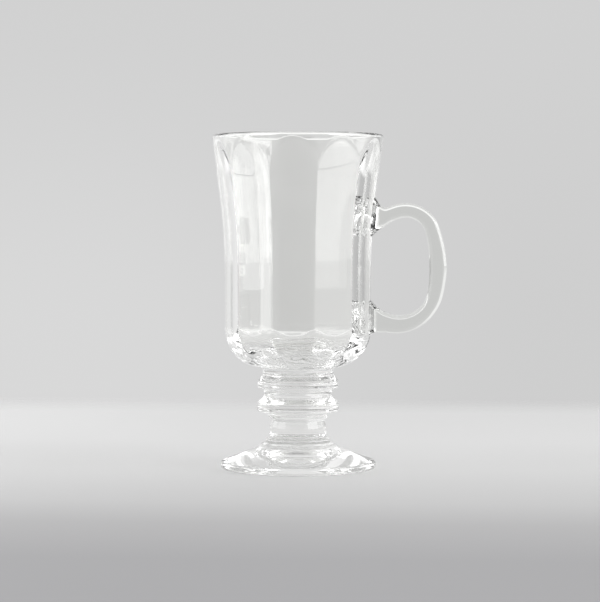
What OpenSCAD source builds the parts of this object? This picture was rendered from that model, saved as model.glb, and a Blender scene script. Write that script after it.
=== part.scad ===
// Footed glass mug for hot drinks: a flared bowl with flat panels inside, two rings, a neck,
// a round foot and a loop handle. Millimetres, +Z up, handle towards +X,
// origin in the middle of the plane that the foot rests on.

/* [Bowl] */
// Outside radius of the bowl's straight part
bowl_r = 32.6; // [29:0.1:36]
// Outside radius of the bowl at the rim
rim_r = 38.3; // [36.5:0.1:41]
// Height of the bowl, from the top of the rings to the rim
bowl_h = 105.3; // [95:0.1:120]
// Height on the bowl at which its wall turns outwards
flare_h = 61.6; // [52:0.1:66]
// Bend radius of the wall where it turns outwards
flare_bend_r = 260; // [80:5:300]
// Height on the bowl of the corner that its round bottom bends around
belly_h = 3.1; // [2.4:0.1:6]
// Bend radius of the bowl's round bottom
belly_bend_r = 17.3; // [8:0.1:18]
// Height of the short post under the bowl
stub_h = 1.4; // [0.8:0.1:2]
// Bend radius between that post and the bowl
stub_bend_r = 1; // [0.3:0.1:1.4]
// Thickness of the bowl's wall
wall = 3.5; // [2.6:0.1:4.6]
// Bend radius of the rim's two edges
lip_bend_r = 1.5; // [0.5:0.1:1.6]
// Height on the bowl of the inside floor
floor_h = 9.8; // [4.5:0.1:11]
// Bend radius between the inside floor and the inside wall
basin_bend_r = 10.5; // [6:0.5:16]

/* [Panels inside the bowl] */
// Number of flat panels
panel_count = 10; // [8:1:14]
// How far the ridges between the panels stand in from the round wall
ridge_inset = 0.15; // [0.1:0.05:0.4]
// Distance from the rim down to the top of a panel's arch
arch_drop = 2.6; // [2.2:0.1:12]
// Height of a panel's arch
arch_h = 19; // [10:0.5:30]

/* [Upper ring] */
// Height of the upper ring, from the groove to the bowl
upper_ring_h = 10.2; // [9.2:0.1:14]
// Radius of the post between the upper ring and the bowl
post_r = 15.8; // [14.5:0.1:17]
// Height of the straight root under the upper ring
upper_root_h = 1.8; // [1.2:0.1:2.4]
// Height of the upper ring's slanted underside
upper_under_h = 0.9; // [0.4:0.1:1.4]
// Height of the upper ring's upright band
upper_band_h = 2.9; // [2:0.1:3.4]
// Height of the upper ring's slanted top
upper_slant_h = 3.1; // [2:0.1:3.4]

/* [Lower ring] */
// Height of the lower ring, from the waist to the groove
lower_ring_h = 12; // [11.4:0.1:16]
// Radius of the groove between the two rings
groove_r = 15; // [13.5:0.1:16]
// Height of the collar's lower edge under the lower ring
collar_h = 1.2; // [0.8:0.1:2]
// Radius of that collar
collar_r = 13.1; // [12.4:0.1:14]
// Height of the lower ring's root
lower_root_h = 2.8; // [2.3:0.1:3.2]
// Height of the lower ring's slanted underside
lower_under_h = 1.5; // [0.8:0.1:1.8]
// Height of the lower ring's upright band
lower_band_h = 3.8; // [2.5:0.1:4]
// Height of the lower ring's slanted top
lower_slant_h = 2.7; // [2:0.1:3]

/* [Both rings] */
// Outside radius of the rings
ring_r = 18.2; // [17.2:0.1:20]
// Bend radius of the rings' upper edges
ring_bend_r = 1.7; // [0.4:0.1:2]
// Bend radius of the rings' lower edges
ring_under_bend_r = 1.1; // [0.3:0.1:1.4]
// Bend radius of the rings' roots
root_bend_r = 0.9; // [0.3:0.1:1.2]
// How much wider a ring's root is than the groove
root_step = 0.4; // [0.1:0.1:0.8]

/* [Neck] */
// Height of the neck, from the foot to the waist
neck_h = 9.7; // [8:0.1:14]
// Radius of the waist, where the neck meets the lower ring
waist_r = 11.8; // [10.5:0.1:12.4]
// Radius of the neck's lower part
neck_r = 12.6; // [11.5:0.1:13.4]
// Height on the neck at which it starts to narrow towards the waist
neck_taper_h = 7.2; // [5:0.1:7.6]
// Bend radius of the neck where it starts to narrow
neck_bend_r = 8; // [2:0.5:20]
// Radius of the bead around the neck's foot
bead_r = 14.6; // [14:0.1:16]
// Height of the bead
bead_h = 1.5; // [1:0.1:2.4]
// Height of the hollow between the bead and the neck
bead_slant_h = 1.2; // [0.6:0.1:1.8]
// Bend radius of the bead's edge and of its hollow
bead_bend_r = 0.8; // [0.3:0.1:1]

/* [Foot] */
// Radius of the foot
foot_r = 34.7; // [31:0.1:40]
// Height of the foot, from the table to the neck
foot_h = 11.5; // [10:0.1:15]
// Height of the foot's rim
edge_h = 3; // [2.2:0.1:4]
// Bend radius of the upper edge of the foot's rim
edge_bend_r = 1.3; // [0.4:0.1:1.8]
// Bend radius of the lower edge of the foot's rim
sole_bend_r = 1.2; // [0.4:0.1:1.2]
// Radius of the step around the foot's top
step_r = 16.4; // [15.6:0.1:17.2]
// Depth of that step below the foot's top
step_drop = 0.5; // [0.2:0.1:1]
// Radius at which the foot's slope starts
slope_r = 17.7; // [17.4:0.1:20]
// Depth of the slope's start below the foot's top
slope_drop = 2; // [1.4:0.1:3]
// Bend radius of the step
step_bend_r = 0.6; // [0.2:0.1:0.8]
// Inner radius of the flat ring that stands on the table
rest_r = 30.6; // [27:0.1:32]
// Radius of the hollow under the foot, where its slope flattens
hollow_r = 16; // [10:0.5:26]
// Depth of the hollow at that radius
hollow_h = 2.2; // [1.5:0.1:3.8]
// Depth of the hollow in the middle
hollow_mid_h = 2.6; // [2:0.1:5]
// Bend radius of the hollow's slope
hollow_bend_r = 60; // [4:0.5:70]

/* [Handle] */
// Height on the bowl of the upper arm's middle
top_arm_h = 69; // [60:0.1:76]
// Height on the bowl of the lower arm's middle
low_arm_h = 21.5; // [20:0.1:30]
// Thickness of the upper arm
top_arm_t = 6.6; // [5.5:0.1:8]
// Thickness where the crest turns down into the grip
crest_t = 6.4; // [5.5:0.1:8]
// Thickness of the grip
grip_t = 7.9; // [6:0.1:9]
// Thickness where the grip turns into the lower arm
base_t = 6.5; // [5.5:0.1:8]
// Thickness of the lower arm
low_arm_t = 8.3; // [6:0.1:9]
// Width of the handle across its flat sides
handle_w = 10.4; // [8:0.1:13]
// Bevel radius of the handle's long edges
bevel_r = 2.2; // [1:0.1:2.6]
// Distance from the bowl at which the upper arm turns up
rise_reach = 5.8; // [4.5:0.1:8]
// Bend radius of that turn
rise_bend_r = 15; // [8:0.5:20]
// Distance from the bowl to the corner of the crest
crest_reach = 24.2; // [21:0.1:28]
// Height of the crest's corner above the upper arm
crest_rise = 6.3; // [4:0.1:9]
// Bend radius of the crest
crest_bend_r = 12.5; // [8:0.1:14]
// Distance from the bowl to the corner of the grip
grip_reach = 31.1; // [28:0.1:36]
// Depth of the grip's corner below the upper arm
grip_drop = 21.2; // [16:0.1:26]
// Bend radius of the grip
grip_bend_r = 55; // [25:1:60]
// Distance from the bowl to the handle's lower corner
base_reach = 25.4; // [23:0.1:29]
// Depth of the lower corner below the lower arm
base_drop = 2.9; // [1:0.1:5]
// Bend radius of the lower corner
base_bend_r = 17.4; // [10:0.1:18]
// Distance from the bowl at which the lower arm turns level
level_reach = 7.4; // [5:0.1:10]
// Bend radius of that turn
level_bend_r = 19; // [8:0.5:24]

/* [Where the handle joins the bowl] */
// Height of the fillet above the upper arm
top_outer_rise = 5; // [1:0.1:6]
// Reach of the fillet above the upper arm
top_outer_run = 7; // [3:0.1:9]
// Height of the fillet below the upper arm
top_inner_rise = 5.8; // [2:0.1:8]
// Reach of the fillet below the upper arm
top_inner_run = 9; // [4:0.1:11]
// Height of the fillet above the lower arm
low_inner_rise = 5.9; // [2:0.1:8]
// Reach of the fillet above the lower arm
low_inner_run = 9.5; // [4:0.1:11]
// Height of the fillet below the lower arm
low_outer_rise = 1; // [0.5:0.1:1.6]
// Reach of the fillet below the lower arm
low_outer_run = 2.5; // [1:0.1:5]
// Height of the fillets beside both arms
side_rise = 1.6; // [0.5:0.1:3]
// Reach of the fillets beside both arms
side_run = 3; // [1:0.1:5]
// Distance over which the handle takes up the bowl's curve
seat_reach = 9; // [6:0.5:12]

/* [Hidden] */

// Colour of the glass
glass = [0.86, 0.89, 0.88, 0.5];
// Turn per facet of a small bend, and longest facet on a large one
bend_step = 10;
facet_l = 8;
// Overrun of the cuts
over = 1;
// Share of a side that two neighbouring bends may fill together
room_share = 0.98;
// Sides of one panel arch, and how far its curve runs on above the arch
arch_sides = 8;
arch_over_share = 0.04;
// Facets of one handle bevel, and rings along a fillet and along the rest of the handle
bevel_sides = 5;
fillet_rings = 7;
handle_rings = 38;
// Places along the handle at which its thicknesses are reached, and size of the inner ring of its ends
top_arm_share = 0.14;
crest_share = 0.32;
grip_share = 0.5;
base_share = 0.7;
low_arm_share = 0.9;
cap_share = 0.5;

// Heights of the joints between the pieces
neck_z = foot_h;
lower_ring_z = neck_z + neck_h;
upper_ring_z = lower_ring_z + lower_ring_h;
bowl_z = upper_ring_z + upper_ring_h;

$fn = 120;

// Outlines: each corner is [radius, height, bend radius], and bends become arcs
function spot(corner) = [corner[0], corner[1]];
function unit(v) = v / norm(v);
function half_turn(c, i) =
    acos(unit(spot(c[i - 1]) - spot(c[i])) * unit(spot(c[i + 1]) - spot(c[i]))) / 2;
function is_bent(c, i) = i > 0 && i < len(c) - 1 && c[i][2] != undef && c[i][2] > 0;
function wanted_run(c, i) = is_bent(c, i) ? c[i][2] / tan(half_turn(c, i)) : 0;
function fitting_share(c, i, j) =
    let (both = wanted_run(c, i) + wanted_run(c, j), side = norm(spot(c[j]) - spot(c[i])) * room_share)
    both > side ? side / both : 1;
function turn(a, b) = (b - a + 540) % 360 - 180;
function bend(c, i) =
    let (
        here = spot(c[i]),
        back = unit(spot(c[i - 1]) - here),
        ahead = unit(spot(c[i + 1]) - here),
        run = wanted_run(c, i) * min(fitting_share(c, i, i - 1), fitting_share(c, i, i + 1)),
        r = run * tan(half_turn(c, i)),
        middle = here + unit(back + ahead) * norm([run, r]),
        from = here + back * run - middle,
        to = here + ahead * run - middle,
        start = atan2(from[1], from[0]),
        sweep = turn(start, atan2(to[1], to[0])),
        sides = ceil(max(abs(sweep) / bend_step, norm(to - from) / facet_l))
    )
    [for (k = [0:sides]) middle + r * [cos(start + sweep * k / sides), sin(start + sweep * k / sides)]];
function outline(c) = [for (i = [0:len(c) - 1]) each is_bent(c, i) ? bend(c, i) : [spot(c[i])]];

module turned(corners) {
    rotate_extrude() polygon(outline(corners));
}

// The bowl, outside and inside
bowl_outside = [
    [0, 0],
    [post_r, 0],
    [post_r, stub_h, stub_bend_r],
    [bowl_r, belly_h, belly_bend_r],
    [bowl_r, flare_h, flare_bend_r],
    [rim_r, bowl_h, lip_bend_r],
    [0, bowl_h]
];
bowl_inside = [
    [0, floor_h],
    [bowl_r - wall, floor_h, basin_bend_r],
    [bowl_r - wall, flare_h, flare_bend_r],
    [rim_r - wall, bowl_h, lip_bend_r],
    [rim_r, bowl_h],
    [rim_r, bowl_h + over],
    [0, bowl_h + over]
];
outside_wall = [for (p = outline(bowl_outside)) [p[1], p[0]]];
// The inside wall as [height, radius], from the floor's edge to the rim without its bend
inside_wall = [
    for (p = outline([bowl_inside[0], bowl_inside[1], bowl_inside[2], [rim_r - wall, bowl_h]]))
        if (p[0] > 0) [p[1], p[0]]
];
function outside_r(h) = lookup(h, outside_wall);
function inside_r(h) = lookup(h, inside_wall);

// Panels: the distance of a panel from the axis, and the share of its depth left in its arch
half_panel = 180 / panel_count;
apex_h = bowl_h - arch_drop;
spring_h = apex_h - arch_h;
function panel_depth(r) = r - (r - ridge_inset) * cos(half_panel);
function arch_share(h) = 1 - pow(1 - (apex_h - h) / arch_h, 2);
function panel_spot(h, r, share) = [r - panel_depth(r) * share, h];

// A prism with the panels as its sides, wider towards the rim than the round wall
module panel_prism() {
    // The lowest facet runs on below the floor, which cuts it
    low = 2 * inside_wall[0] - inside_wall[1];
    wall_spots = [for (p = inside_wall) if (p[0] > inside_wall[0][0] && p[0] < spring_h) p];
    arch_heights = [for (k = [0:arch_sides - 1]) spring_h + arch_h * k / arch_sides];
    top = apex_h + arch_h * arch_over_share;
    spots = concat(
        [for (p = concat([low], wall_spots)) panel_spot(p[0], p[1], 1)],
        [for (h = arch_heights) panel_spot(h, inside_r(h), arch_share(h))],
        [panel_spot(top, inside_r(top), arch_share(top))],
        [[rim_r + over, top + over], [rim_r + over, bowl_h + over * 2]]
    );
    n = panel_count;
    last = len(spots) - 1;
    points = [
        for (s = spots) for (k = [0:n - 1])
            let (r = s[0] / cos(half_panel), a = half_panel * 2 * k)
            [r * cos(a), r * sin(a), s[1]]
    ];
    sides = [
        for (i = [0:last - 1]) for (k = [0:n - 1])
            let (a = i * n + k, b = i * n + (k + 1) % n)
            [a, a + n, b + n, b]
    ];
    polyhedron(points, concat(sides, [[for (k = [0:n - 1]) k], [for (k = [n - 1:-1:0]) last * n + k]]));
}

module bowl_cavity() {
    intersection() {
        turned(bowl_inside);
        panel_prism();
    }
}

module bowl() {
    color(glass)
        translate([0, 0, bowl_z])
            difference() {
                turned(bowl_outside);
                bowl_cavity();
            }
}

// The ring under the bowl, from the groove up to the post
module upper_ring() {
    root = groove_r + root_step;
    under_h = upper_root_h + upper_under_h;
    band_h = under_h + upper_band_h;
    slant_h = band_h + upper_slant_h;
    color(glass)
        translate([0, 0, upper_ring_z])
            turned([
                [0, 0],
                [groove_r, 0],
                [root, upper_root_h, root_bend_r],
                [ring_r, under_h, ring_under_bend_r],
                [ring_r, band_h, ring_bend_r],
                [post_r, slant_h, root_bend_r],
                [post_r, upper_ring_h],
                [0, upper_ring_h]
            ]);
}

// The ring above the neck, with a small collar under it
module lower_ring() {
    under_h = lower_root_h + lower_under_h;
    band_h = under_h + lower_band_h;
    slant_h = band_h + lower_slant_h;
    color(glass)
        translate([0, 0, lower_ring_z])
            turned([
                [0, 0],
                [waist_r, 0],
                [collar_r, collar_h, root_bend_r],
                [collar_r, lower_root_h, root_bend_r],
                [ring_r, under_h, ring_under_bend_r],
                [ring_r, band_h, ring_bend_r],
                [groove_r + root_step, slant_h, root_bend_r],
                [groove_r, lower_ring_h],
                [0, lower_ring_h]
            ]);
}

// The neck, with a bead around its foot
module neck() {
    color(glass)
        translate([0, 0, neck_z])
            turned([
                [0, 0],
                [bead_r, 0],
                [bead_r, bead_h, bead_bend_r],
                [neck_r, bead_h + bead_slant_h, bead_bend_r],
                [neck_r, neck_taper_h, neck_bend_r],
                [waist_r, neck_h],
                [0, neck_h]
            ]);
}

// The foot, hollow underneath so that it stands on a flat ring near its rim
module foot() {
    color(glass)
        turned([
            [0, hollow_mid_h],
            [hollow_r, hollow_h, hollow_bend_r],
            [rest_r, 0],
            [foot_r, 0, sole_bend_r],
            [foot_r, edge_h, edge_bend_r],
            [slope_r, foot_h - slope_drop, step_bend_r],
            [step_r, foot_h - step_drop, step_bend_r],
            [bead_r, foot_h],
            [0, foot_h]
        ]);
}

// The handle's middle line, in heights on the bowl
handle_path = outline([
    [outside_r(top_arm_h), top_arm_h],
    [bowl_r + rise_reach, top_arm_h, rise_bend_r],
    [bowl_r + crest_reach, top_arm_h + crest_rise, crest_bend_r],
    [bowl_r + grip_reach, top_arm_h - grip_drop, grip_bend_r],
    [bowl_r + base_reach, low_arm_h - base_drop, base_bend_r],
    [bowl_r + level_reach, low_arm_h, level_bend_r],
    [outside_r(low_arm_h), low_arm_h]
]);
path_runs = [
    for (i = 0, run = 0; i < len(handle_path);
         i = i + 1, run = i < len(handle_path) ? run + norm(handle_path[i] - handle_path[i - 1]) : run)
        run
];
path_l = path_runs[len(path_runs) - 1];
path_x = [for (i = [0:len(path_runs) - 1]) [path_runs[i], handle_path[i][0]]];
path_h = [for (i = [0:len(path_runs) - 1]) [path_runs[i], handle_path[i][1]]];
function along(run) = [lookup(run, path_x), lookup(run, path_h)];
function heading(run) = unit(along(run + bevel_r / 2) - along(run - bevel_r / 2));

// Thickness, and how far a fillet stands out at a distance from the bowl
function thickness(run) = lookup(run / path_l, [
    [0, top_arm_t],
    [top_arm_share, top_arm_t],
    [crest_share, crest_t],
    [grip_share, grip_t],
    [base_share, base_t],
    [low_arm_share, low_arm_t],
    [1, low_arm_t]
]);
function fillet(rise, reach, run) = run >= reach ? 0 : rise * pow(1 - run / reach, 2);
function outer_half(run) =
    thickness(run) / 2
    + fillet(top_outer_rise, top_outer_run, run)
    + fillet(low_outer_rise, low_outer_run, path_l - run);
function inner_half(run) =
    thickness(run) / 2
    + fillet(top_inner_rise, top_inner_run, run)
    + fillet(low_inner_rise, low_inner_run, path_l - run);
function side_half(run) = handle_w / 2 + fillet(side_rise, side_run, min(run, path_l - run));

// One section of the handle: a bevelled rectangle across its middle line, and at each end on the bowl
function section(run) = [
    for (q = [0:3]) for (k = [0:bevel_sides])
        let (
            out = q == 0 || q == 3 ? outer_half(run) - bevel_r : bevel_r - inner_half(run),
            aside = q < 2 ? side_half(run) - bevel_r : bevel_r - side_half(run),
            a = 90 * (q + k / bevel_sides)
        )
        [out + bevel_r * cos(a), aside + bevel_r * sin(a)]
];
function on_bowl(y, h) = [sqrt(pow(outside_r(h), 2) - y * y), y, h];
function seat_share(run) = run >= seat_reach ? 0 : pow(1 - run / seat_reach, 2);
function seated(p, start_x, share) = p + [(on_bowl(p[1], p[2])[0] - start_x) * share, 0, 0];
function ring(run) =
    let (
        middle = along(run),
        ahead = heading(run),
        near_run = min(run, path_l - run),
        end_x = run < path_l / 2 ? handle_path[0][0] : handle_path[len(handle_path) - 1][0],
        share = seat_share(near_run)
    )
    [
        for (s = section(run))
            seated([middle[0] - ahead[1] * s[0], s[1], middle[1] + ahead[0] * s[0]], end_x, share)
    ];
function cap_ring(run) =
    [for (p = ring(run)) on_bowl(p[1] * cap_share, along(run)[1] + (p[2] - along(run)[1]) * cap_share)];

// Rings lie closer together in the fillets, and closest beside the bowl
function fillet_runs(reach) = [for (k = [0:fillet_rings - 1]) reach * pow(k / fillet_rings, 1.5)];
top_run = max(top_inner_run, top_outer_run, side_run);
low_run = max(low_inner_run, low_outer_run, side_run);
grip_l = path_l - top_run - low_run;
low_runs = fillet_runs(low_run);
ring_runs = concat(
    fillet_runs(top_run),
    [for (k = [0:handle_rings]) top_run + grip_l * k / handle_rings],
    [for (i = [len(low_runs) - 1:-1:0]) path_l - low_runs[i]]
);

module handle() {
    rows = concat([cap_ring(0)], [for (run = ring_runs) ring(run)], [cap_ring(path_l)]);
    n = len(rows[0]);
    last = len(rows) - 1;
    points = concat([for (row = rows) each row], [on_bowl(0, top_arm_h), on_bowl(0, low_arm_h)]);
    sides = [
        for (i = [0:last - 1]) for (k = [0:n - 1])
            let (a = i * n + k, b = i * n + (k + 1) % n)
            each [[a, b, b + n], [a, b + n, a + n]]
    ];
    caps = [
        for (k = [0:n - 1])
            each [[(k + 1) % n, k, len(points) - 2], [last * n + k, last * n + (k + 1) % n, len(points) - 1]]
    ];
    color(glass)
        translate([0, 0, bowl_z]) polyhedron(points, concat(sides, caps));
}

bowl();
upper_ring();
lower_ring();
neck();
foot();
handle();
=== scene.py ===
import math

import bpy
import numpy as np
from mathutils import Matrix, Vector
from mathutils.geometry import delaunay_2d_cdt


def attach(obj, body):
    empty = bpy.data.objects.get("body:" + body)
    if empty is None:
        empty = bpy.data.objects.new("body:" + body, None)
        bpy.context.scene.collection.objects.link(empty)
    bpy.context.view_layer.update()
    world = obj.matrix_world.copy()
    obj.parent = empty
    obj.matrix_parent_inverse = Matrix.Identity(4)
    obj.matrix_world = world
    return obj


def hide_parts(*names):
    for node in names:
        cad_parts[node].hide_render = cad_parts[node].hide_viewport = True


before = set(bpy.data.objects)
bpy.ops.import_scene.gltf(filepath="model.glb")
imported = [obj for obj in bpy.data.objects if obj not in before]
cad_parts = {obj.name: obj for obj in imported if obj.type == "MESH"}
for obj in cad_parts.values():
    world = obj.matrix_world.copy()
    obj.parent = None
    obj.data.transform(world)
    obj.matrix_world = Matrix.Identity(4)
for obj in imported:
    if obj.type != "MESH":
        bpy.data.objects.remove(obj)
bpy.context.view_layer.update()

# A footed glass mug for hot drinks, in metres, standing on the floor at the origin.
# Every piece repeats the formulas and the named sizes of the CAD source with finer facets,
# and two pieces that meet share one joint face, which light passes straight through.

MM = 0.001

# Bowl, in millimetres; heights on the bowl count from bowl_z
bowl_r = 32.6
rim_r = 38.3
bowl_h = 105.3
flare_h = 61.6
flare_bend_r = 260
belly_h = 3.1
belly_bend_r = 17.3
stub_h = 1.4
stub_bend_r = 1
wall = 3.5
lip_bend_r = 1.5
floor_h = 10.3
floor_dip = 1.2
basin_bend_r = 10.5

# Panels inside the bowl
panel_count = 10
ridge_inset = 0.15
ridge_round = 0.35
arch_drop = 2.6
arch_h = 19
basin_crown = 0.45
basin_fade_h = 2

# Near the axis, the inset and the rounding are at most these shares of the radius
ridge_inset_share = 0.05
ridge_round_share = 0.2

# Waves in the inside floor
ripple_h = 0.12
ripple_start_r = 4
ripple_fade_h = 4

# Each wave's turn per mm, its sway to the side, and the sway's turn per mm and start
ripple_across = (0.55, 1.1, 0.31, 0.6)
ripple_along = (0.62, 0.9, 0.37, 0)

# Rings
upper_ring_h = 10.2
post_r = 15.8
upper_root_h = 1.8
upper_under_h = 0.9
upper_band_h = 2.9
upper_slant_h = 3.1
lower_ring_h = 12
groove_r = 15
collar_h = 1.2
collar_r = 13.1
lower_root_h = 2.8
lower_under_h = 1.5
lower_band_h = 3.8
lower_slant_h = 2.7
ring_r = 18.2
ring_bend_r = 1.7
ring_under_bend_r = 1.1
root_bend_r = 0.9
root_step = 0.4

# Neck
neck_h = 9.7
waist_r = 11.8
neck_r = 12.6
neck_taper_h = 7.2
neck_bend_r = 8
bead_r = 14.6
bead_h = 1.5
bead_slant_h = 1.2
bead_bend_r = 0.8

# Foot
foot_r = 34.7
foot_h = 11.5
edge_h = 3
edge_bend_r = 1.3
sole_bend_r = 1.2
step_r = 16.4
step_drop = 0.5
slope_r = 17.7
slope_drop = 2
step_bend_r = 0.6
rest_r = 30.6
hollow_r = 16
hollow_h = 2.2
hollow_mid_h = 2.6
hollow_bend_r = 60

# Handle
top_arm_h = 69
low_arm_h = 21.5
top_arm_t = 6.6
crest_t = 6.4
grip_t = 7.9
base_t = 6.5
low_arm_t = 8.3
handle_w = 10.4
bevel_r = 2.2
rise_reach = 5.8
rise_bend_r = 15
crest_reach = 24.2
crest_rise = 6.3
crest_bend_r = 12.5
grip_reach = 31.1
grip_drop = 21.2
grip_bend_r = 55
base_reach = 25.4
base_drop = 2.9
base_bend_r = 17.4
level_reach = 7.4
level_bend_r = 19
top_outer_rise, top_outer_run = 5, 7
top_inner_rise, top_inner_run = 5.8, 9
low_inner_rise, low_inner_run = 5.9, 9.5
low_outer_rise, low_outer_run = 1, 2.5
side_rise, side_run = 1.6, 3
seat_reach = 9
thickness_shares = [0, 0.14, 0.32, 0.5, 0.7, 0.9, 1]
thicknesses = [top_arm_t, top_arm_t, crest_t, grip_t, base_t, low_arm_t, low_arm_t]

# Heights of the joints between the pieces
neck_z = foot_h
lower_ring_z = neck_z + neck_h
upper_ring_z = lower_ring_z + lower_ring_h
bowl_z = upper_ring_z + upper_ring_h

# Facets of the meshes: lengths in millimetres, arcs in radians
RUN_STEP = 1.2
OUTER_RUN_STEP = 1.5
INNER_RUN_STEP = 1.1
FINE_RUN_STEP = 0.5
ARC_STEP = math.radians(3.5)
FINE_ARC_STEP = ARC_STEP / 3
PATH_ARC_STEP = math.radians(1.5)
LATHE_COLUMNS = 240
RIDGE_DEGREES = [0, 0.16, 0.34, 0.56, 0.85, 1.25, 1.8]
FAR_COLUMNS = 12
SECTION_STEP = 0.8
END_RUNS = [0.12, 0.3, 0.55]
BEVEL_SIDES, FLAT_SIDES = 9, 7
SEAT_MARGIN, SEAT_TURN_MARGIN, SEAT_GAP = 1, 0.03, 0.45

# Small steps along a surface, from which its normals are worked out
WALL_STEP, WALL_TURN_STEP = 0.02, 5e-4
SWEEP_STEP, SHIFT_STEP = 0.05, 1e-3

# Two bends of an outline take at most this share of the side between them
ROOM_SHARE = 0.98

# Lengths and sizes too small to count, and the grid on which equal points are welded
TINY, NO_LENGTH, NO_SIZE = 1e-6, 1e-9, 1e-12
CUT_TOLERANCE = 1e-7
WELD = 1e-4

# Material slots of every piece
GLASS, JOINT = 0, 1


# Outlines: corners of [radius, height, bend radius], with the bends as arcs


def unit(v):
    return v / np.linalg.norm(v)


def outline(corners, run_step=RUN_STEP, arc_step=ARC_STEP):
    """Rows of (radius, height, normal's radius share, normal's height share) along the corners.
    A corner without a bend gives two rows, one with each side's normal."""
    p = [np.array(c[:2], float) for c in corners]
    bend = [c[2] if len(c) > 2 and 0 < i < len(p) - 1 else 0 for i, c in enumerate(corners)]
    half = [
        math.acos(unit(p[i - 1] - p[i]) @ unit(p[i + 1] - p[i])) / 2 if bend[i] else 0
        for i in range(len(p))
    ]
    wanted = [b / math.tan(h) if b else 0 for b, h in zip(bend, half)]

    def fitting(i, j):
        both = wanted[i] + wanted[j]
        side = np.linalg.norm(p[j] - p[i]) * ROOM_SHARE
        return side / both if both > side else 1

    rows = []

    def straight(a, b):
        length = np.linalg.norm(b - a)
        if length < NO_LENGTH:
            return
        n = np.array([b[1] - a[1], a[0] - b[0]]) / length
        for t in np.linspace(0, 1, max(1, math.ceil(length / run_step)) + 1):
            rows.append([*(a + (b - a) * t), *n])

    at = p[0]
    for i in range(1, len(p)):
        if not bend[i]:
            straight(at, p[i])
            at = p[i]
            continue
        back, ahead = unit(p[i - 1] - p[i]), unit(p[i + 1] - p[i])
        run = wanted[i] * min(fitting(i, i - 1), fitting(i, i + 1))
        r = run * math.tan(half[i])
        middle = p[i] + unit(back + ahead) * math.hypot(run, r)
        start, end = p[i] + back * run, p[i] + ahead * run
        straight(at, start)
        a0 = math.atan2(*(start - middle)[::-1])
        turn = (math.atan2(*(end - middle)[::-1]) - a0 + math.pi) % (2 * math.pi) - math.pi
        steps = math.ceil(max(abs(turn) / arc_step, abs(turn) * r / run_step))
        side = 1 if turn > 0 else -1
        for a in a0 + turn * np.linspace(0, 1, steps + 1):
            spoke = np.array([math.cos(a), math.sin(a)])
            rows.append([*(middle + r * spoke), *(side * spoke)])
        at = end
    rows = np.array(rows)
    same = np.all(np.abs(np.diff(rows, axis=0)) < TINY, axis=1)
    return rows[np.concatenate([[True], ~same])]


def ring_of(rows, angles, z):
    """Points and normals of an outline turned round the axis: its rows, at each of the angles."""
    c, s = np.cos(angles), np.sin(angles)
    r, h, nr, nz = (rows[:, k][:, None] for k in range(4))
    one = np.ones_like(c)[None, :]
    points = np.stack([r * c, r * s, (h + z) * one], -1)
    normals = np.stack([nr * c, nr * s, nz * one], -1)
    return points, normals


# Meshes with true normals, made of patches whose edges are welded


class Skin:
    def __init__(self):
        self.points, self.normals, self.slots = [], [], []

    def add(self, points, normals, slot):
        """Faces of 4 corners each; a face with two equal corners is a triangle."""
        self.points.append(points)
        self.normals.append(normals)
        self.slots.append(np.full(len(points), slot))

    def grid(self, points, normals, slot=GLASS, flip=False, keep=None):
        """A patch of rows by columns that closes into a ring. keep is True where a face stays."""
        here = [(0, 0), (0, 1), (1, 1), (1, 0)]
        if flip:
            here = here[::-1]
        rows = len(points)

        def corner(a, k):
            return np.roll(a, -k[1], axis=1)[k[0] : rows - 1 + k[0]]

        p = np.stack([corner(points, k) for k in here], 2)
        n = np.stack([corner(normals, k) for k in here], 2)
        if keep is not None:
            p, n = p[keep], n[keep]
        self.add(p.reshape(-1, 4, 3), n.reshape(-1, 4, 3), slot)

    def triangles(self, points, normals, slot):
        self.add(points[:, [0, 1, 2, 2]], normals[:, [0, 1, 2, 2]], slot)

    def build(self, name, materials):
        corners = np.concatenate(self.points).reshape(-1, 3)
        normals = np.concatenate(self.normals)
        slots = np.concatenate(self.slots)
        whole = np.round(corners / WELD).astype(np.int64)
        _, first, ids = np.unique(whole, axis=0, return_index=True, return_inverse=True)
        vertices = corners[first] * MM
        ids = ids.reshape(-1, 4)
        used = ids != np.roll(ids, -1, axis=1)
        good = (used.sum(1) >= 3) & (ids[:, 0] != ids[:, 2]) & (ids[:, 1] != ids[:, 3])
        ids, normals, slots, used = ids[good], normals[good], slots[good], used[good]
        sizes = used.sum(1)
        mesh = bpy.data.meshes.new(name)
        mesh.vertices.add(len(vertices))
        mesh.vertices.foreach_set("co", vertices.astype(np.float32).ravel())
        mesh.loops.add(int(sizes.sum()))
        mesh.loops.foreach_set("vertex_index", ids[used].astype(np.int32))
        mesh.polygons.add(len(sizes))
        starts = np.concatenate([[0], np.cumsum(sizes)[:-1]])
        mesh.polygons.foreach_set("loop_start", starts.astype(np.int32))
        mesh.polygons.foreach_set("material_index", slots.astype(np.int32))
        mesh.polygons.foreach_set("use_smooth", np.ones(len(sizes), bool))
        mesh.update(calc_edges=True)
        corner_normals = normals[used]
        corner_normals /= np.linalg.norm(corner_normals, axis=1)[:, None]
        mesh.normals_split_custom_set(corner_normals.tolist())
        for material in materials:
            mesh.materials.append(material)
        piece = bpy.data.objects.new(name, mesh)
        bpy.context.scene.collection.objects.link(piece)
        return piece


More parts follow.
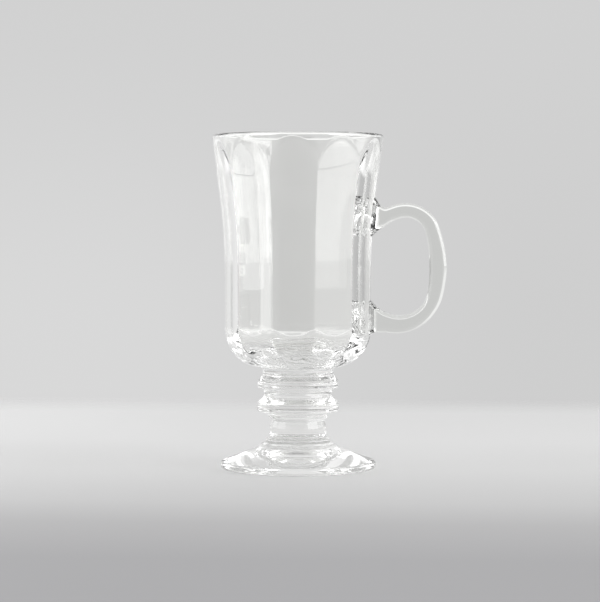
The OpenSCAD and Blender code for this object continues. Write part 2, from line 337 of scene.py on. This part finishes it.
def lathe(name, corners, z, materials, bottom_joint=True):
    """A turned piece. Its top is a joint face to its neighbour, and so is its bottom unless
    bottom_joint is False."""
    angles = np.arange(LATHE_COLUMNS) * 2 * math.pi / LATHE_COLUMNS
    joints = [[[*corners[-2][:2], 0, 1], [0, corners[-1][1], 0, 1]]]
    if bottom_joint:
        joints.insert(0, [[0, corners[0][1], 0, -1], [*corners[1][:2], 0, -1]])
        corners = corners[1:]
    skin = Skin()
    for rows in joints:
        skin.grid(*ring_of(np.array(rows, float), angles, z), slot=JOINT)
    skin.grid(*ring_of(outline(corners[:-1]), angles, z))
    return skin.build(name, materials)


# The bowl's walls as functions of the height on the bowl

bowl_outside = [
    [post_r, 0],
    [post_r, stub_h, stub_bend_r],
    [bowl_r, belly_h, belly_bend_r],
    [bowl_r, flare_h, flare_bend_r],
    [rim_r, bowl_h, lip_bend_r],
    [rim_r - wall / 2, bowl_h],
]
bowl_inside = [
    [rim_r - wall / 2, bowl_h],
    [rim_r - wall, bowl_h, lip_bend_r],
    [bowl_r - wall, flare_h, flare_bend_r],
    [bowl_r - wall, floor_h, basin_bend_r],
    [0, floor_h - floor_dip],
]
outside_rows = outline([[0, 0], *bowl_outside, [0, bowl_h]], FINE_RUN_STEP, FINE_ARC_STEP)
outside_rows = outside_rows[outside_rows[:, 2] > TINY]
inside_rows = outline(
    [[bowl_r - wall, floor_h], [bowl_r - wall, flare_h, flare_bend_r], [rim_r - wall, bowl_h]],
    FINE_RUN_STEP,
    FINE_ARC_STEP,
)


def outside_r(h):
    return np.interp(h, outside_rows[:, 1], outside_rows[:, 0])


def inside_r(h):
    """The inner wall's radius without the basin and the lip."""
    return np.interp(h, inside_rows[:, 1], inside_rows[:, 0])


def outside_normal(points):
    """The outer wall's normals at points on it, whose heights count on the bowl."""
    nr = np.interp(points[..., 2], outside_rows[:, 1], outside_rows[:, 2])
    nz = np.interp(points[..., 2], outside_rows[:, 1], outside_rows[:, 3])
    r = np.hypot(points[..., 0], points[..., 1])
    return np.stack([points[..., 0] / r * nr, points[..., 1] / r * nr, nz], -1)


# Panels: flat sides inside the bowl, which fade out upwards in an arch

half_panel = math.pi / panel_count
apex_h = bowl_h - arch_drop


def soft_min(a, b, width):
    share = np.clip(0.5 + 0.5 * (b - a) / width, 0, 1)
    return b * (1 - share) + a * share - width * share * (1 - share)


def cut_by_sides(flat, across, soft):
    """The radius of flat sides, at an angle across one of them, with softened ridges."""
    next_one = flat / np.cos(2 * half_panel - np.abs(across))
    return soft_min(flat / np.cos(across), next_one, soft)


def panelled_r(round_r, h, angle):
    """The inner wall's radius where the turned wall has round_r: the flat sides cut it off, and
    the basin below them has crowned sides, so that each flat side ends in a curve."""
    wall_r = inside_r(h)
    inset = np.minimum(ridge_inset, round_r * ridge_inset_share)
    soft = np.maximum(np.minimum(ridge_round, round_r * ridge_round_share), TINY)
    across = (angle % (2 * half_panel)) - half_panel
    # From 1 on the panel to 0 at the arch's top; past it the flat side passes outside the wall
    left = np.clip((apex_h - h) / arch_h, -0.5, 1)
    share = np.where(left < 0, 2 * left, 1 - (1 - left) ** 2)
    flat = wall_r - (wall_r - (wall_r - ridge_inset) * math.cos(half_panel)) * share
    sides = cut_by_sides(flat, across, soft)
    low = np.clip((floor_h + basin_bend_r - h) / basin_fade_h, 0, 1)
    basin_sides = cut_by_sides((round_r - inset) * math.cos(half_panel), across, soft)
    basin = round_r - (round_r - basin_sides) * low * (1 - basin_crown)
    return soft_min(sides, basin, soft)


def bowl_columns():
    """Angles across the bowl, closest together beside the ridges between the panels."""
    near = np.radians(RIDGE_DEGREES)
    far = np.linspace(near[-1], half_panel, FAR_COLUMNS)[1:]
    side = np.concatenate([near, far])
    one = np.concatenate([side, 2 * half_panel - side[-2:0:-1]])
    return np.concatenate([one + 2 * half_panel * i for i in range(panel_count)])


def floor_ripple(x, y, h):
    """Height of the slight waves that the plunger left in the inside floor; none in its middle."""

    def wave(turned, wave_sizes, run, side_run):
        turn, sway, sway_turn, sway_start = wave_sizes
        return turned(turn * run + sway * np.sin(sway_turn * side_run + sway_start))

    low = np.clip((floor_h + ripple_fade_h - h) / ripple_fade_h, 0, 1)
    out = np.clip(np.hypot(x, y) / ripple_start_r, 0, 1)
    across, along = wave(np.sin, ripple_across, x, y), wave(np.cos, ripple_along, y, x)
    return ripple_h * low**2 * (3 - 2 * low) * out**2 * across * along


def inner_wall(rows, angles):
    """Points and normals of the panelled inner wall; the normals come from small steps on it."""

    def spot(r, h, a):
        cut = np.where(r > TINY, panelled_r(r, h, a), 0)
        x, y = cut * np.cos(a), cut * np.sin(a)
        return np.stack([x, y, h + floor_ripple(x, y, h)], -1)

    r, h, nr, nz = (rows[:, k][:, None] for k in range(4))
    a = angles[None, :]
    dr, dh = -nz * WALL_STEP, nr * WALL_STEP
    points = spot(r, h, a)
    down = spot(r + dr, h + dh, a) - spot(r - dr, h - dh, a)
    turn = spot(r, h, a + WALL_TURN_STEP) - spot(r, h, a - WALL_TURN_STEP)
    normals = np.cross(turn, down)
    size = np.linalg.norm(normals, axis=-1)[..., None]
    flat = np.array([0, 0, 1.0])
    normals = np.where(size > NO_SIZE, normals / np.maximum(size, NO_SIZE), flat)
    normals = np.where(r[..., None] < TINY, flat, normals)
    return points, normals


# The handle: a bevelled section swept along a rounded path

path_corners = [
    [outside_r(top_arm_h), top_arm_h],
    [bowl_r + rise_reach, top_arm_h, rise_bend_r],
    [bowl_r + crest_reach, top_arm_h + crest_rise, crest_bend_r],
    [bowl_r + grip_reach, top_arm_h - grip_drop, grip_bend_r],
    [bowl_r + base_reach, low_arm_h - base_drop, base_bend_r],
    [bowl_r + level_reach, low_arm_h, level_bend_r],
    [outside_r(low_arm_h), low_arm_h],
]
path = outline(path_corners, FINE_RUN_STEP, PATH_ARC_STEP)[:, :2]
path = path[np.concatenate([[True], np.linalg.norm(np.diff(path, axis=0), axis=1) > TINY])]
path_runs = np.concatenate([[0], np.cumsum(np.linalg.norm(np.diff(path, axis=0), axis=1))])
path_l = path_runs[-1]


def along_path(run):
    return np.array([np.interp(run, path_runs, path[:, 0]), np.interp(run, path_runs, path[:, 1])])


def heading(run):
    return unit(along_path(run + bevel_r / 2) - along_path(run - bevel_r / 2))


def fillet(rise, reach, run):
    return rise * (1 - run / reach) ** 2 if run < reach else 0


def half_sizes(run):
    """Half of a section towards the outside of the loop, towards its inside and sideways."""
    half = np.interp(run / path_l, thickness_shares, thicknesses) / 2
    left = path_l - run
    outer = half + fillet(top_outer_rise, top_outer_run, run)
    outer += fillet(low_outer_rise, low_outer_run, left)
    inner = half + fillet(top_inner_rise, top_inner_run, run)
    inner += fillet(low_inner_rise, low_inner_run, left)
    return outer, inner, handle_w / 2 + fillet(side_rise, side_run, min(run, left))


def seat_share(run):
    """How much a section follows the bowl's round outside: 1 at the ends, 0 past seat_reach."""
    return fillet(1, seat_reach, min(run, path_l - run))


def on_bowl(y, h):
    return np.sqrt(outside_r(h) ** 2 - y * y)


# One section's points as (quarter, angle, share of the way to the next quarter's bevel)
section_spots = []
for quarter in range(4):
    for k in range(BEVEL_SIDES + 1):
        section_spots.append((quarter, math.pi / 2 * (quarter + k / BEVEL_SIDES), 0))
    for k in range(1, FLAT_SIDES):
        section_spots.append((quarter, math.pi / 2 * (quarter + 1), k / FLAT_SIDES))
section_angles = np.array([spot[1] for spot in section_spots])


def handle_ring(run):
    """One section of the handle, its ends fitted to the round outside of the bowl."""
    outer, inner, side = half_sizes(run)
    centres = np.array(
        [
            [outer - bevel_r, side - bevel_r],
            [bevel_r - inner, side - bevel_r],
            [bevel_r - inner, bevel_r - side],
            [outer - bevel_r, bevel_r - side],
        ]
    )
    flat = []
    for quarter, angle, share in section_spots:
        bevel = bevel_r * np.array([math.cos(angle), math.sin(angle)])
        flat.append(centres[quarter] * (1 - share) + centres[(quarter + 1) % 4] * share + bevel)
    flat = np.array(flat)
    middle, ahead = along_path(run), heading(run)
    ring = np.stack(
        [middle[0] - ahead[1] * flat[:, 0], flat[:, 1], middle[1] + ahead[0] * flat[:, 0]], -1
    )
    seated = seat_share(run)
    if seated:
        end_x = path[0][0] if run < path_l / 2 else path[-1][0]
        ring[:, 0] += (on_bowl(ring[:, 1], ring[:, 2]) - end_x) * seated
    return ring


def handle_rows():
    """Points and normals of the handle's sections, from end to end, with heights on the bowl."""
    steps = int(round(path_l / SECTION_STEP))
    runs = path_l * np.arange(steps + 1) / steps
    near = np.array(END_RUNS)
    runs = np.unique(np.concatenate([runs, near, path_l - near]))
    points = np.array([handle_ring(run) for run in runs])
    ahead = np.array(
        [
            handle_ring(min(run + SWEEP_STEP, path_l)) - handle_ring(max(run - SWEEP_STEP, 0))
            for run in runs
        ]
    )
    # The bevels' own directions give the turn round a section; the sweep gives the rest
    tangents = []
    sines, cosines = np.sin(section_angles)[:, None], np.cos(section_angles)[:, None]
    for run, ring in zip(runs, points):
        way = heading(run)
        outwards, sideways = np.array([-way[1], 0, way[0]]), np.array([0, 1.0, 0])
        tangent = -sines * outwards + cosines * sideways
        seated = seat_share(run)
        if seated:
            moved = ring + tangent * SHIFT_STEP
            shift = on_bowl(moved[:, 1], moved[:, 2]) - on_bowl(ring[:, 1], ring[:, 2])
            none = np.zeros_like(shift)
            tangent = tangent + np.stack([shift / SHIFT_STEP * seated, none, none], -1)
        tangents.append(tangent)
    normals = np.cross(ahead, np.array(tangents))
    normals /= np.linalg.norm(normals, axis=-1)[..., None]
    return points, normals


# Where the handle stands on the bowl, the outer wall is cut along the handle's end ring


def inside_loop(loop, spots):
    """True for each spot inside a closed loop, both in two numbers."""
    x, y = spots[:, 0][:, None], spots[:, 1][:, None]
    a, b = loop, np.roll(loop, -1, axis=0)
    crosses = (a[:, 1] > y) != (b[:, 1] > y)
    rise = np.where(b[:, 1] == a[:, 1], 1, b[:, 1] - a[:, 1])
    at = a[:, 0] + (y - a[:, 1]) * (b[:, 0] - a[:, 0]) / rise
    return (np.sum(crosses & (x < at), axis=1) % 2) == 1


def seat_patch(points, first_row, last_row, columns, loop):
    """Triangles that fill a block of the outer wall's grid, cut along loop, the handle's end ring.
    Gives the points, and True for the triangles inside the loop."""

    def unrolled(p):
        return np.stack([np.arctan2(p[..., 1], p[..., 0]) * bowl_r, p[..., 2]], -1)

    block = points[first_row : last_row + 1][:, columns]
    top, end = block.shape[0] - 1, block.shape[1] - 1
    border = [(0, j) for j in range(end)] + [(i, end) for i in range(top)]
    border += [(top, j) for j in range(end, 0, -1)] + [(i, 0) for i in range(top, 0, -1)]
    spots = [block[i, j] for i, j in border]
    loop_flat = unrolled(loop)
    inner = block[1:-1, 1:-1].reshape(-1, 3)
    gap = np.linalg.norm(unrolled(inner)[:, None] - loop_flat[None], axis=2).min(1)
    spots = np.array(spots + list(loop) + list(inner[gap > SEAT_GAP]))
    flat = unrolled(spots)
    before, round_loop = len(border), len(loop)
    edges = [(i, (i + 1) % before) for i in range(before)]
    edges += [(before + i, before + (i + 1) % round_loop) for i in range(round_loop)]
    made = delaunay_2d_cdt([Vector(spot) for spot in flat], edges, [], 0, CUT_TOLERANCE)
    source = [origins[0] for origins in made[3]]
    faces = np.array([[source[corner] for corner in face] for face in made[2]])
    corners = flat[faces]
    side = corners[:, 1] - corners[:, 0]
    other = corners[:, 2] - corners[:, 0]
    turned_over = side[:, 0] * other[:, 1] - side[:, 1] * other[:, 0] < 0
    faces[turned_over] = faces[turned_over][:, ::-1]
    within = inside_loop(loop_flat, flat[faces].mean(1))
    return spots[faces], within


def lifted(points):
    return points + np.array([0, 0, bowl_z])


def make_bowl_and_handle(bowl_materials, handle_materials):
    """Both pieces at once, because they share the joint faces at the handle's two ends."""
    angles = bowl_columns()
    outer = outline(bowl_outside, OUTER_RUN_STEP)
    points, normals = ring_of(outer, angles, 0)
    rows, row_normals = handle_rows()
    bowl, handle = Skin(), Skin()
    keep = np.ones((len(outer) - 1, len(angles)), bool)
    for loop in (rows[0], rows[-1]):
        low, high = loop[:, 2].min() - SEAT_MARGIN, loop[:, 2].max() + SEAT_MARGIN
        first_row = int(np.searchsorted(outer[:, 1], low)) - 1
        last_row = int(np.searchsorted(outer[:, 1], high))
        reach = np.arctan2(loop[:, 1], loop[:, 0]).max() + SEAT_TURN_MARGIN
        right = int(np.searchsorted(angles, reach))
        columns = np.arange(-right, right + 1) % len(angles)
        keep[first_row:last_row, columns[:-1]] = False
        corners, within = seat_patch(points, first_row, last_row, columns, loop)
        face_normals = outside_normal(corners)
        bowl.triangles(lifted(corners[~within]), face_normals[~within], GLASS)
        bowl.triangles(lifted(corners[within]), face_normals[within], JOINT)
        handle.triangles(lifted(corners[within][:, ::-1]), -face_normals[within][:, ::-1], JOINT)
    bowl.grid(lifted(points), normals, keep=keep)
    inner, inner_normals = inner_wall(outline(bowl_inside, INNER_RUN_STEP), angles)
    bowl.grid(lifted(inner), inner_normals)
    under = np.array([[0, 0, 0, -1], [post_r, 0, 0, -1]], float)
    bowl.grid(*ring_of(under, angles, bowl_z), slot=JOINT)
    handle.grid(lifted(rows), row_normals, flip=True)
    return {
        "bowl": bowl.build("bowl_glass", bowl_materials),
        "handle": handle.build("handle_glass", handle_materials),
    }


def upper_ring_corners():
    under_h = upper_root_h + upper_under_h
    band_h = under_h + upper_band_h
    slant_h = band_h + upper_slant_h
    return [
        [0, 0],
        [groove_r, 0],
        [groove_r + root_step, upper_root_h, root_bend_r],
        [ring_r, under_h, ring_under_bend_r],
        [ring_r, band_h, ring_bend_r],
        [post_r, slant_h, root_bend_r],
        [post_r, upper_ring_h],
        [0, upper_ring_h],
    ]


def lower_ring_corners():
    under_h = lower_root_h + lower_under_h
    band_h = under_h + lower_band_h
    slant_h = band_h + lower_slant_h
    return [
        [0, 0],
        [waist_r, 0],
        [collar_r, collar_h, root_bend_r],
        [collar_r, lower_root_h, root_bend_r],
        [ring_r, under_h, ring_under_bend_r],
        [ring_r, band_h, ring_bend_r],
        [groove_r + root_step, slant_h, root_bend_r],
        [groove_r, lower_ring_h],
        [0, lower_ring_h],
    ]


neck_corners = [
    [0, 0],
    [bead_r, 0],
    [bead_r, bead_h, bead_bend_r],
    [neck_r, bead_h + bead_slant_h, bead_bend_r],
    [neck_r, neck_taper_h, neck_bend_r],
    [waist_r, neck_h],
    [0, neck_h],
]

foot_corners = [
    [0, hollow_mid_h],
    [hollow_r, hollow_h, hollow_bend_r],
    [rest_r, 0],
    [foot_r, 0, sole_bend_r],
    [foot_r, edge_h, edge_bend_r],
    [slope_r, foot_h - slope_drop, step_bend_r],
    [step_r, foot_h - step_drop, step_bend_r],
    [bead_r, foot_h],
    [0, foot_h],
]


# Shader nodes, each given as its output; a colour that is one number is a grey


def math_node(nodes, links, operation, a, b=None):
    node = nodes.new("ShaderNodeMath")
    node.operation = operation
    for socket, value in zip(node.inputs, (a, b)):
        if isinstance(value, bpy.types.NodeSocket):
            links.new(value, socket)
        elif value is not None:
            socket.default_value = value
    return node.outputs[0]


def way_share(nodes, links, value, start, end, kind="SMOOTHSTEP"):
    """The share of the way from start to end, from 0 to 1."""
    node = nodes.new("ShaderNodeMapRange")
    node.interpolation_type = kind
    node.inputs["From Min"].default_value = start
    node.inputs["From Max"].default_value = end
    links.new(value, node.inputs["Value"])
    return node.outputs["Result"]


def rgba(colour):
    return (colour, colour, colour, 1) if isinstance(colour, float) else (*colour, 1)


def colour_ramp(nodes, links, value, stops):
    ramp = nodes.new("ShaderNodeValToRGB")
    places = ramp.color_ramp.elements
    for k, (place, colour) in enumerate(stops):
        stop = places[k] if k < 2 else places.new(place)
        stop.position = place
        stop.color = rgba(colour)
    links.new(value, ramp.inputs["Fac"])
    return ramp.outputs["Color"]


def colour_mix(nodes, links, share, a, b):
    mix = nodes.new("ShaderNodeMix")
    mix.data_type = "RGBA"
    links.new(share, mix.inputs["Factor"])
    for name, value in (("A", a), ("B", b)):
        if isinstance(value, bpy.types.NodeSocket):
            links.new(value, mix.inputs[name])
        else:
            mix.inputs[name].default_value = rgba(value)
    return mix.outputs["Result"]


def shader_mix(nodes, links, share, a, b):
    mix = nodes.new("ShaderNodeMixShader")
    links.new(share, mix.inputs["Fac"])
    links.new(a, mix.inputs[1])
    links.new(b, mix.inputs[2])
    return mix.outputs["Shader"]


def noise(nodes, links, place, scale, detail):
    node = nodes.new("ShaderNodeTexNoise")
    node.inputs["Scale"].default_value = scale
    node.inputs["Detail"].default_value = detail
    links.new(place, node.inputs["Vector"])
    return node.outputs["Fac"]


def new_material(name):
    material = bpy.data.materials.new(name)
    material.use_nodes = True
    nodes, links = material.node_tree.nodes, material.node_tree.links
    nodes.clear()
    return material, nodes, links, nodes.new("ShaderNodeOutputMaterial").inputs["Surface"]


# Materials of the mug

glass_ior = 1.52

# Each tint has a dark and a pale shade, which are full at two levels of the noise
clear_tint = (0.984, 0.986, 0.977), (0.992, 0.994, 0.986)
thick_tint = (0.915, 0.922, 0.905), (0.925, 0.932, 0.915)
dark_level, pale_level = 0.3, 0.7
drift_scale, drift_detail = 18, 1

# The mould's waviness, with its height in metres
wavy_scale, wavy_detail = 60, 1.5
wavy_strength, wavy_h = 0.04, 0.0006


def glass_material(name, dark_tint, pale_tint):
    """Clear pressed glass: a faint tint that drifts between two shades, and the slight waviness
    that a mould leaves."""
    material, nodes, links, surface = new_material(name)
    glass = nodes.new("ShaderNodeBsdfPrincipled")
    glass.inputs["Roughness"].default_value = 0.0
    glass.inputs["IOR"].default_value = glass_ior
    glass.inputs["Transmission Weight"].default_value = 1.0
    place = nodes.new("ShaderNodeTexCoord").outputs["Object"]
    drift = noise(nodes, links, place, drift_scale, drift_detail)
    shades = [(dark_level, dark_tint), (pale_level, pale_tint)]
    links.new(colour_ramp(nodes, links, drift, shades), glass.inputs["Base Color"])
    bump = nodes.new("ShaderNodeBump")
    bump.inputs["Strength"].default_value = wavy_strength
    bump.inputs["Distance"].default_value = wavy_h
    links.new(noise(nodes, links, place, wavy_scale, wavy_detail), bump.inputs["Height"])
    links.new(bump.outputs["Normal"], glass.inputs["Normal"])
    links.new(glass.outputs["BSDF"], surface)
    return material


def joint_material():
    """The face where two pieces are fused: the glass runs on through it."""
    material, nodes, links, surface = new_material("fused_joint")
    links.new(nodes.new("ShaderNodeBsdfTransparent").outputs["BSDF"], surface)
    return material


joint = joint_material()
clear = [glass_material("clear_glass", *clear_tint), joint]
thick = [glass_material("thick_glass", *thick_tint), joint]
pieces = make_bowl_and_handle(clear, thick)
pieces["upper_ring"] = lathe("upper_ring_glass", upper_ring_corners(), upper_ring_z, clear)
pieces["lower_ring"] = lathe("lower_ring_glass", lower_ring_corners(), lower_ring_z, clear)
pieces["neck"] = lathe("neck_glass", neck_corners, neck_z, clear)
pieces["foot"] = lathe("foot_glass", foot_corners, 0, clear, bottom_joint=False)
for node, piece in pieces.items():
    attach(piece, "root")
    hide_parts(node)


# Stage, in metres: a pale table whose edges fade out

table_half, table_front, table_back, table_top = 0.62, -0.67, 0.4, -0.0002
table_roughness = 0.85

# Where the fading starts and ends, from the middle
fade_aside, fade_behind, fade_front = (0.45, 0.6), (0.27, 0.38), (0.5, 0.65)

# The table's colours, as shares of the way from shade_front to shade_back: its pale colour at the
# back, darkened towards the camera by painted shade where the light falls off
shade_front, shade_back = -0.36, 0.24
table_colours_with_painted_shade = [
    (0.0, (0.425, 0.423, 0.432)),
    (0.16, (0.43, 0.428, 0.437)),
    (0.3, (0.497, 0.495, 0.5)),
    (0.4, (0.597, 0.596, 0.598)),
    (0.59, (0.7, 0.7, 0.7)),
    (0.8, (0.752, 0.752, 0.752)),
    (1.0, (0.752, 0.752, 0.752)),
]

# Painted light makes the table lighter to the left and painted shade makes it darker to the right,
# up to side_reach from the middle
side_reach, painted_light_left, painted_shade_right = 0.22, 0.1, 0.035


def table_material():
    material, nodes, links, surface = new_material("pale_table_with_painted_shade")
    pale = nodes.new("ShaderNodeBsdfPrincipled")
    pale.inputs["Roughness"].default_value = table_roughness
    pale.inputs["Specular IOR Level"].default_value = 0.0
    empty = nodes.new("ShaderNodeBsdfTransparent")
    coords = nodes.new("ShaderNodeTexCoord")
    split = nodes.new("ShaderNodeSeparateXYZ")
    links.new(coords.outputs["Object"], split.inputs["Vector"])
    x, y = split.outputs["X"], split.outputs["Y"]
    leftwards = math_node(nodes, links, "MULTIPLY", x, -1.0)
    forwards = math_node(nodes, links, "MULTIPLY", y, -1.0)
    sidewards = math_node(nodes, links, "ABSOLUTE", x)
    # The base colour is painted: painted shade towards the camera and to the right, painted light
    # to the left
    depth = way_share(nodes, links, y, shade_front, shade_back, "LINEAR")
    left = way_share(nodes, links, leftwards, 0.0, side_reach)
    right = way_share(nodes, links, x, 0.0, side_reach)
    painted_light_gain = math_node(nodes, links, "MULTIPLY", left, painted_light_left)
    painted_light_gain = math_node(nodes, links, "ADD", painted_light_gain, 1.0)
    painted_shade_loss = math_node(nodes, links, "MULTIPLY", right, painted_shade_right)
    shade = nodes.new("ShaderNodeVectorMath")
    shade.operation = "SCALE"
    links.new(colour_ramp(nodes, links, depth, table_colours_with_painted_shade), shade.inputs[0])
    links.new(math_node(nodes, links, "SUBTRACT", painted_light_gain, painted_shade_loss), shade.inputs["Scale"])
    links.new(shade.outputs["Vector"], pale.inputs["Base Color"])
    aside = way_share(nodes, links, sidewards, *fade_aside)
    behind = way_share(nodes, links, y, *fade_behind)
    front = way_share(nodes, links, forwards, *fade_front)
    gone = math_node(nodes, links, "MAXIMUM", behind, front)
    gone = math_node(nodes, links, "MAXIMUM", aside, gone)
    links.new(shader_mix(nodes, links, gone, pale.outputs["BSDF"], empty.outputs["BSDF"]), surface)
    return material


def make_table():
    mesh = bpy.data.meshes.new("table")
    corners = [
        (-table_half, table_front, table_top),
        (table_half, table_front, table_top),
        (table_half, table_back, table_top),
        (-table_half, table_back, table_top),
    ]
    mesh.from_pydata(corners, [], [(0, 1, 2, 3)])
    mesh.materials.append(table_material())
    table = bpy.data.objects.new("table", mesh)
    bpy.context.scene.collection.objects.link(table)


make_table()


# The world: a backdrop for the eye, greys for the glass and an even light for all else

# The greys that the glass sees round the mug, at shares of a turn: 0 and 1 are the camera's side,
# 0.25 is the left, 0.5 the back and 0.75 the right
front_greys = [(0.0, 0.25), (0.06, 0.25), (0.088, 0.9)]
last_greys = [(0.912, 0.9), (0.94, 0.25), (1.0, 0.25)]
ring_high = [
    *front_greys,
    (0.33, 0.9),
    (0.4, 0.96),
    (0.452, 0.96),
    (0.468, 0.68),
    (0.5, 0.66),
    (0.58, 0.67),
    (0.67, 0.9),
    *last_greys,
]
ring_low = [
    *front_greys,
    (0.3, 0.9),
    (0.333, 0.8),
    (0.383, 0.78),
    (0.4, 0.83),
    (0.452, 0.83),
    (0.468, 0.68),
    (0.5, 0.66),
    (0.542, 0.655),
    (0.567, 0.5),
    (0.65, 0.46),
    (0.68, 0.6),
    (0.71, 0.9),
    *last_greys,
]
ring_deep = [*front_greys, (0.4, 0.9), (0.44, 1.1), (0.56, 1.1), (0.6, 0.9), *last_greys]
ceiling_grey = 0.79

# Where ring_high passes into the others: depths of a direction, and a height for the ceiling
to_low, to_deep, to_ceiling = (-0.02, 0.02), (0.12, 0.19), (0.3, 0.5)

# The backdrop's greys at its lower left and right and above, and where they pass into each other
wall_left, wall_right, wall_top = 0.69, 0.62, 0.64
wall_across, wall_up = (-0.17, 0.05), (-0.05, 0.1)

# The even light on the table
even_light = 0.8


def make_world():
    """The eye sees a pale backdrop. The glass sees greys round the mug, lighter at the sides and
    dark round the camera, as in a small studio. All else gets the even light."""
    world = bpy.data.worlds.new("studio")
    bpy.context.scene.world = world
    world.use_nodes = True
    nodes, links = world.node_tree.nodes, world.node_tree.links
    nodes.clear()
    out = nodes.new("ShaderNodeOutputWorld")
    light = nodes.new("ShaderNodeBackground")
    light.inputs["Color"].default_value = rgba(1.0)
    light.inputs["Strength"].default_value = even_light
    backdrop = nodes.new("ShaderNodeBackground")
    around = nodes.new("ShaderNodeBackground")
    coords = nodes.new("ShaderNodeTexCoord")
    split = nodes.new("ShaderNodeSeparateXYZ")
    links.new(coords.outputs["Generated"], split.inputs["Vector"])
    x, y, z = (split.outputs[axis] for axis in "XYZ")
    below = math_node(nodes, links, "MULTIPLY", z, -1.0)
    angle = math_node(nodes, links, "ARCTAN2", x, y)
    turn = way_share(nodes, links, angle, -math.pi, math.pi, "LINEAR")
    greys = colour_ramp(nodes, links, turn, ring_high)
    for heights, stops in ((to_low, ring_low), (to_deep, ring_deep)):
        share = way_share(nodes, links, below, *heights)
        greys = colour_mix(nodes, links, share, greys, colour_ramp(nodes, links, turn, stops))
    high = way_share(nodes, links, z, *to_ceiling)
    links.new(colour_mix(nodes, links, high, greys, ceiling_grey), around.inputs["Color"])
    across = way_share(nodes, links, x, *wall_across)
    wall_low = colour_ramp(nodes, links, across, [(0.0, wall_left), (1.0, wall_right)])
    up = way_share(nodes, links, z, *wall_up)
    links.new(colour_mix(nodes, links, up, wall_low, wall_top), backdrop.inputs["Color"])
    ray = nodes.new("ShaderNodeLightPath").outputs
    glossy, passed_on = ray["Is Glossy Ray"], ray["Is Transmission Ray"]
    by_glass = math_node(nodes, links, "MAXIMUM", glossy, passed_on)
    lit = shader_mix(nodes, links, by_glass, light.outputs[0], around.outputs[0])
    seen = shader_mix(nodes, links, ray["Is Camera Ray"], lit, backdrop.outputs[0])
    links.new(seen, out.inputs["Surface"])


make_world()


# Upright soft lamps, which face the mug

# Their distance from the mug's axis in metres
LAMP_DISTANCE = 1.2

# Each has its name, its turn from +X and its half width in degrees, the heights of its lower and
# upper end in metres, and the brightness of its face
lamps = [
    ("lamp_right", 342, 26, 0.09, 0.74, 3.5),
    ("lamp_left", 199, 20, 0.1, 0.63, 1.9),
    ("lamp_left_low", 199, 20, 0.04, 0.1, 1.0),
    ("lamp_right_back", 27, 15, 0.1, 0.31, 1.5),
    ("lamp_left_back", 160, 16, 0.1, 0.4, 1.6),
]


def make_lamp(name, turn, half_turn, low, high, glow):
    light = bpy.data.lights.new(name, "AREA")
    light.shape = "RECTANGLE"
    light.size = 2 * LAMP_DISTANCE * math.tan(math.radians(half_turn))
    light.size_y = high - low
    light.energy = glow * light.size * light.size_y * math.pi
    lamp = bpy.data.objects.new(name, light)
    across, along = math.cos(math.radians(turn)), math.sin(math.radians(turn))
    lamp.location = (LAMP_DISTANCE * across, LAMP_DISTANCE * along, (low + high) / 2)
    lamp.rotation_euler = Vector((-across, -along, 0)).to_track_quat("-Z", "Y").to_euler()
    lamp.visible_camera = False
    bpy.context.scene.collection.objects.link(lamp)


for lamp_sizes in lamps:
    make_lamp(*lamp_sizes)


# Camera at the photograph's viewing angle, aimed a little to the right of the mug's axis

# The photograph's scale at the mug's axis and its height
PX_PER_MM = 2.24
FRAME_PX = 602
SENSOR_MM = 36

# The camera's place and aim, in metres and radians
CAMERA_DISTANCE, CAMERA_H = 0.983, 0.112
AIM_RIGHT, AIM_H = 0.0009, 0.0745
CAMERA_TURN = math.radians(4)
NEAREST = 0.05


def make_camera():
    across, along = math.cos(CAMERA_TURN), math.sin(CAMERA_TURN)
    lens = bpy.data.cameras.new("camera")
    camera = bpy.data.objects.new("camera", lens)
    bpy.context.scene.collection.objects.link(camera)
    camera.location = (CAMERA_DISTANCE * along, -CAMERA_DISTANCE * across, CAMERA_H)
    aim = Vector((0, 0, AIM_H)) + Vector((across, along, 0)) * AIM_RIGHT
    view = aim - camera.location
    camera.rotation_euler = view.to_track_quat("-Z", "Y").to_euler()
    lens.sensor_width = SENSOR_MM
    lens.lens = PX_PER_MM * view.length / MM * SENSOR_MM / FRAME_PX
    lens.clip_start = NEAREST
    bpy.context.scene.camera = camera


make_camera()


# Light passes through many faces of glass before it leaves the mug

BOUNCES = 32
scene = bpy.context.scene
scene.view_settings.view_transform = "Standard"
scene.cycles.max_bounces = BOUNCES
scene.cycles.transmission_bounces = BOUNCES
scene.cycles.transparent_max_bounces = BOUNCES
scene.cycles.glossy_bounces = BOUNCES // 2
scene.cycles.caustics_refractive = True
scene.cycles.caustics_reflective = True
scene.cycles.blur_glossy = 0
